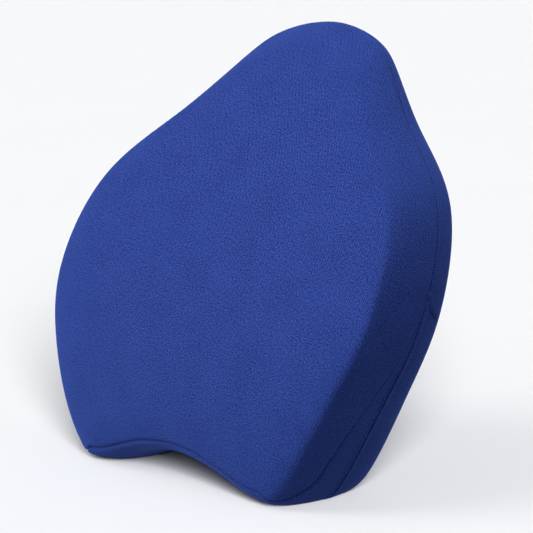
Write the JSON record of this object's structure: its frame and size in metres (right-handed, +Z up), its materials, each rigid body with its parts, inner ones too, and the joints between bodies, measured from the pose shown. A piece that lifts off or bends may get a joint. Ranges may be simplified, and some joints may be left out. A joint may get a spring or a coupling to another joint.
{
  "type": "lumbar support cushion",
  "caption": "Bell-shaped moulded foam back cushion with a zip-off fabric cover, standing on rounded lobes either side of a shallow notch at the tailbone.",
  "frame": {"origin": "Centre of the overall box in plan, on the surface that the lobes stand on.", "axes": "+Z up, +X to the right seen from the front, -Y is the side that meets the sitter's back."},
  "size_m": [0.4148, 0.2162, 0.4],
  "materials": {
    "cover_fabric": "matt dark blue velour-like knit",
    "foam": "matt off-white slow-recovery foam",
    "liner_knit": "matt white inner knit",
    "zip_tape": "matt woven tape",
    "zip_coil": "satin nylon coil",
    "slider_metal": "satin plated metal"
  },
  "bodies": {
    "cushion": {"foam_core": "foam", "liner_front": "liner_knit", "liner_back": "liner_knit", "cover_front_panel": "cover_fabric", "cover_bottom_band": "cover_fabric", "cover_back_panel": "cover_fabric", "zip_tape_front": "zip_tape", "zip_tape_back": "zip_tape", "zip_coil_front": "zip_coil", "zip_coil_back": "zip_coil", "zip_top_stop_front": "slider_metal", "zip_top_stop_back": "slider_metal", "zip_bottom_stop": "slider_metal", "zip_end_tab_left": "cover_fabric", "zip_end_tab_right": "cover_fabric"},
    "slider": {"zip_slider": "slider_metal"},
    "pull": {"zip_pull": "slider_metal"}
  },
  "joints": [
    {"name": "zip_travel", "type": "slide", "parent": "cushion", "child": "slider", "axis": [0.3372, -0.2631, -0.9039], "range_m": [0, 0.05]},
    {"name": "pull_swing", "type": "hinge", "parent": "slider", "child": "pull", "pos_m": [-0.20378, -0.00658, 0.13902], "axis": [0.0939, 0.9648, -0.2457], "range_deg": [-17, 150]}
  ]
}
